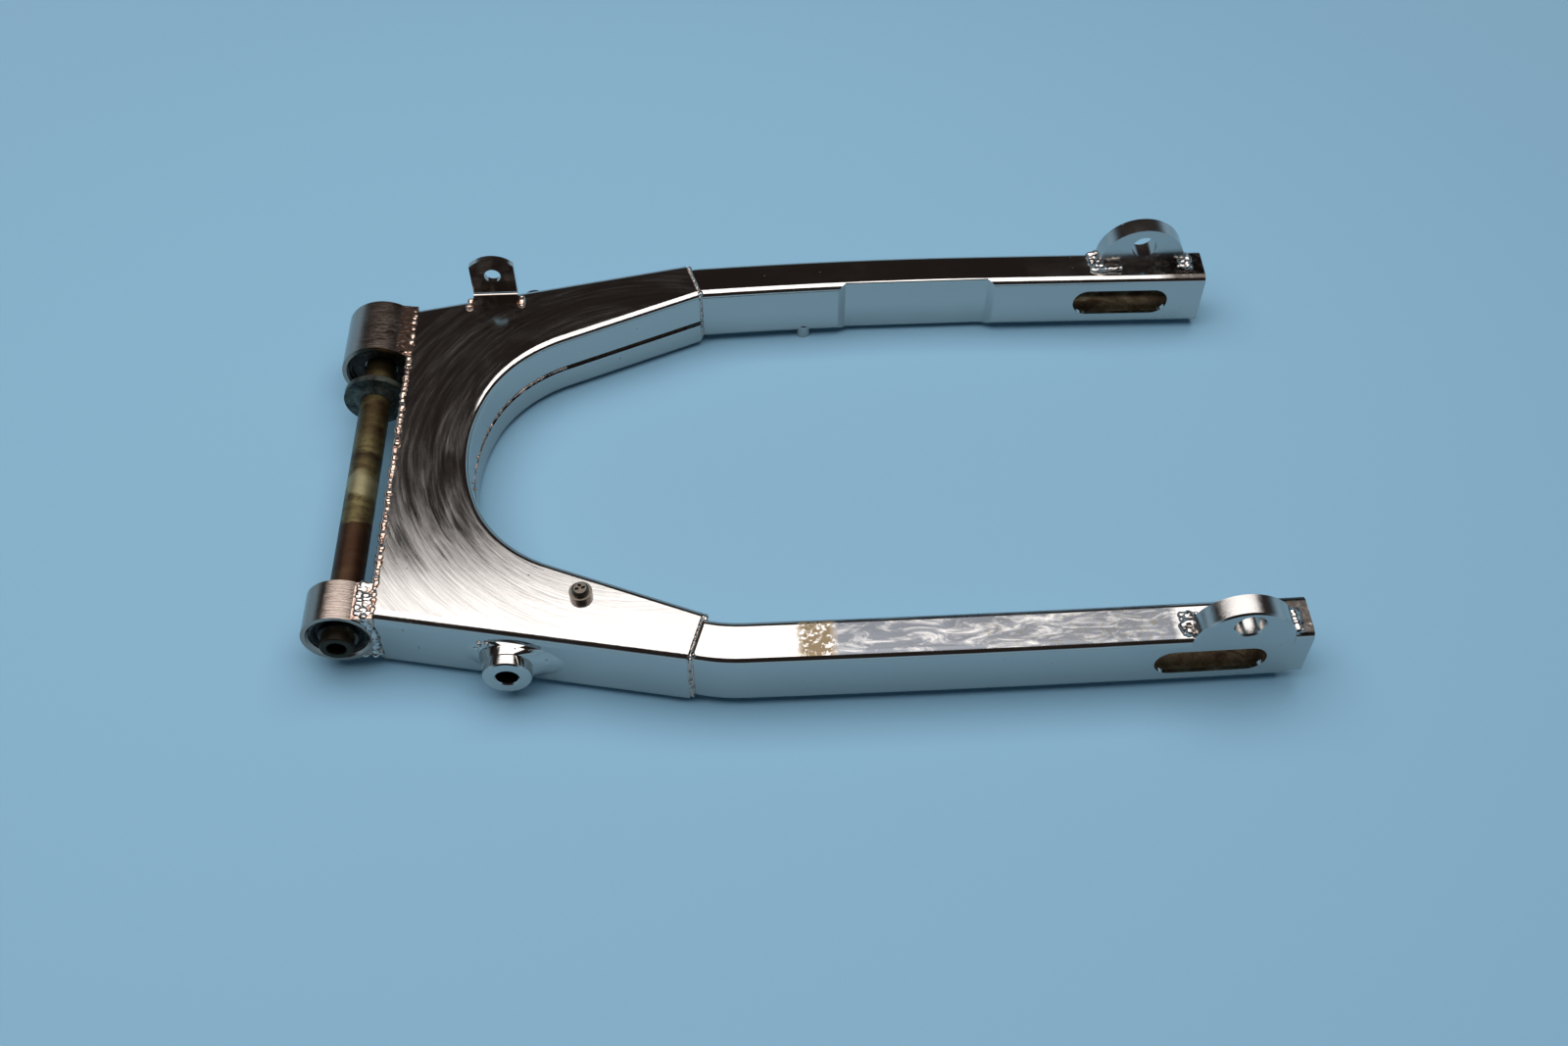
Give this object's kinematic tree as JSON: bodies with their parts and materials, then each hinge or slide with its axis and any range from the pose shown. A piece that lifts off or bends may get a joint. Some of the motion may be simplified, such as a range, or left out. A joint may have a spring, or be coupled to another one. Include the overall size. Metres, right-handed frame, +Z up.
{
  "type": "motorcycle swingarm",
  "caption": "Chromed motorcycle swingarm: welded box yoke with rectangular arm tubes, slotted axle ends, shock lugs, and a pivot tube in a rubber bush and taper bearings.",
  "frame": {"origin": "middle of the pivot bore's axis, in the wheel's centre plane", "axes": "+X to the rear along the arms, +Y to the rider's right along the pivot, +Z up"},
  "size_m": [0.5381, 0.3058, 0.0755],
  "materials": {
    "yoke_chrome": "polished, buffed by hand",
    "arm_chrome": "polished, with pitting near the ends",
    "weld_chrome": "plated over weld ripples",
    "lug_chrome": "plated, lightly pitted",
    "housing_chrome": "plated, lightly pitted",
    "boss_chrome": "polished",
    "bracket_chrome": "plated flat bar",
    "screw_steel": "zinc plated",
    "tube_steel": "brown surface rust and old grease",
    "collar_steel": "dark, oily",
    "bush_steel": "dull",
    "bush_rubber": "matt black",
    "bearing_steel": "ground",
    "shield_steel": "dark, greasy"
  },
  "bodies": {
    "swingarm": {"yoke_upper_shell": "yoke_chrome", "yoke_lower_shell": "yoke_chrome", "yoke_front_plate": "yoke_chrome", "front_weld_top": "weld_chrome", "front_weld_bottom": "weld_chrome", "inner_seam_weld": "weld_chrome", "left_arm_tube": "arm_chrome", "right_arm_tube": "arm_chrome", "left_joint_weld": "weld_chrome", "right_joint_weld": "weld_chrome", "left_shock_lug": "lug_chrome", "right_shock_lug": "lug_chrome", "left_lug_weld_front": "weld_chrome", "left_lug_weld_rear": "weld_chrome", "right_lug_weld_front": "weld_chrome", "right_lug_weld_rear": "weld_chrome", "left_pivot_housing": "housing_chrome", "right_pivot_housing": "housing_chrome", "left_pivot_weld": "weld_chrome", "right_pivot_weld": "weld_chrome", "brake_anchor_boss": "boss_chrome", "brake_anchor_saddle": "boss_chrome", "guard_bracket": "bracket_chrome", "bracket_weld_front": "weld_chrome", "bracket_weld_rear": "weld_chrome", "top_screw_boss": "boss_chrome", "top_screw": "screw_steel", "right_side_boss": "boss_chrome", "under_arm_stud": "boss_chrome", "left_bush_shell": "bush_steel", "left_bush_rubber": "bush_rubber", "left_bush_sleeve": "bush_steel", "right_cup_inner": "bearing_steel", "right_cup_outer": "bearing_steel", "right_cup_spacer": "bearing_steel", "right_lock_ring": "shield_steel", "right_dust_shield": "shield_steel"},
    "pivot_tube": {"pivot_tube": "tube_steel", "pivot_collar": "collar_steel", "right_cone_inner": "bearing_steel", "right_cone_outer": "bearing_steel", "right_cone_spacer": "bearing_steel", "right_rollers_inner": "bearing_steel", "right_rollers_outer": "bearing_steel"}
  },
  "joints": [
    {"name": "pivot_turn", "type": "hinge", "parent": "swingarm", "child": "pivot_tube", "pos_m": [0, 0, 0], "axis": [0, 1, 0], "continuous": true}
  ]
}
